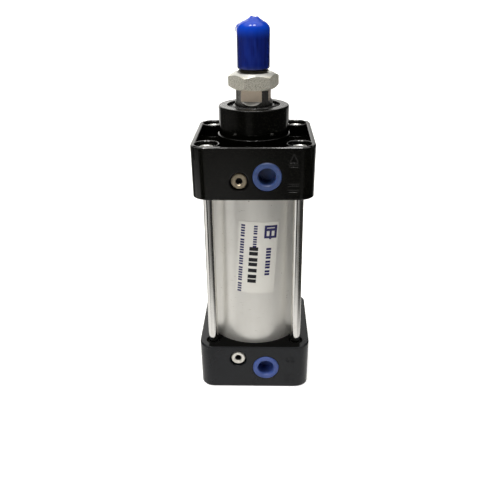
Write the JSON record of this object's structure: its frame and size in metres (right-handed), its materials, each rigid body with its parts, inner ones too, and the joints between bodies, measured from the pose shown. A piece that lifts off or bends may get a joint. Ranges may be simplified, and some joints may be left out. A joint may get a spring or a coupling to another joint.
{
  "type": "pneumatic cylinder",
  "caption": "Double-acting tie-rod air cylinder with square black end caps, a bare tube, a threaded rod end, side ports and cushion needles.",
  "frame": {"origin": "centre of the rear cap's outer face", "axes": "+Z along the piston rod, towards its threaded end; the air ports and needles face -Y"},
  "size_m": [0.0632, 0.0636, 0.2016],
  "materials": {
    "cap_black": "black anodised casting, semi-gloss",
    "cap_black_rear": "black anodised casting, semi-gloss",
    "tube_aluminium": "clear anodised, satin",
    "bright_steel": "bright zinc",
    "zinc_nut": "bright zinc",
    "black_rubber": "matt",
    "green_rubber": "matt",
    "bronze": "oiled sintered bronze",
    "seal_black": "oiled",
    "label_film": "silvery printed film",
    "wear_band": "matt",
    "rod_chrome": "hard chrome",
    "piston_aluminium": "turned",
    "sleeve_steel": "turned",
    "rod_nut_zinc": "dull zinc",
    "blue_cap": "glossy soft plastic",
    "blue_plug": "satin",
    "needle_nickel": "nickel"
  },
  "bodies": {
    "barrel": {"front_cap": "cap_black", "rear_cap": "cap_black_rear", "barrel_tube": "tube_aluminium", "tie_rods": "bright_steel", "front_tie_rod_nuts": "zinc_nut", "rear_tie_rod_nuts": "zinc_nut", "front_tube_o_ring": "black_rubber", "rear_tube_o_ring": "black_rubber", "front_cushion_seal": "green_rubber", "rear_cushion_seal": "green_rubber", "rod_bushing": "bronze", "rod_wiper_seal": "seal_black", "tube_label": "label_film"},
    "bore_seals": {"piston_seals": "seal_black", "wear_ring": "wear_band"},
    "rod": {"piston_rod": "rod_chrome", "piston_front_half": "piston_aluminium", "piston_rear_half": "piston_aluminium", "piston_o_ring": "black_rubber", "piston_nut": "zinc_nut", "front_cushion_sleeve": "sleeve_steel", "rear_cushion_sleeve": "sleeve_steel"},
    "lock_nut": {"rod_nut": "rod_nut_zinc"},
    "thread_protector": {"rod_thread_cap": "blue_cap"},
    "front_plug": {"front_port_plug": "blue_plug"},
    "rear_plug": {"rear_port_plug": "blue_plug"},
    "front_needle_ring": {"front_needle_o_ring": "black_rubber"},
    "front_needle": {"front_cushion_needle": "needle_nickel"},
    "rear_needle_ring": {"rear_needle_o_ring": "black_rubber"},
    "rear_needle": {"rear_cushion_needle": "needle_nickel"}
  },
  "joints": [
    {"name": "rod_slide", "type": "slide", "parent": "barrel", "child": "bore_seals", "axis": [0, 0, 1], "range_m": [0, 0.05]},
    {"name": "rod_spin", "type": "hinge", "parent": "bore_seals", "child": "rod", "pos_m": [0, 0, 0.0465], "axis": [0, 0, 1], "continuous": true},
    {"name": "lock_nut_turn", "type": "hinge", "parent": "rod", "child": "lock_nut", "pos_m": [0, 0, 0.1705], "axis": [0, 0, 1], "range_deg": [-30, 30]},
    {"name": "thread_cap_pull", "type": "slide", "parent": "rod", "child": "thread_protector", "axis": [0, 0, 1], "range_m": [0, 0.03]},
    {"name": "front_plug_pull", "type": "slide", "parent": "barrel", "child": "front_plug", "axis": [0, -1, 0], "range_m": [0, 0.012]},
    {"name": "rear_plug_pull", "type": "slide", "parent": "barrel", "child": "rear_plug", "axis": [0, -1, 0], "range_m": [0, 0.012]},
    {"name": "front_needle_travel", "type": "slide", "parent": "barrel", "child": "front_needle_ring", "axis": [0, -1, 0], "range_m": [0, 0.0015]},
    {"name": "front_needle_turn", "type": "hinge", "parent": "front_needle_ring", "child": "front_needle", "pos_m": [-0.007, -0.0314, 0.1255], "axis": [0, 1, 0], "range_deg": [0, 720]},
    {"name": "rear_needle_travel", "type": "slide", "parent": "barrel", "child": "rear_needle_ring", "axis": [0, -1, 0], "range_m": [0, 0.0015]},
    {"name": "rear_needle_turn", "type": "hinge", "parent": "rear_needle_ring", "child": "rear_needle", "pos_m": [-0.0092, -0.0311, 0.0195], "axis": [0, 1, 0], "range_deg": [0, 720]}
  ],
  "couplings": [
    {"joint": "front_needle_turn", "follows": "front_needle_travel", "rad_per_m": 8377.6},
    {"joint": "rear_needle_turn", "follows": "rear_needle_travel", "rad_per_m": 8377.6}
  ]
}
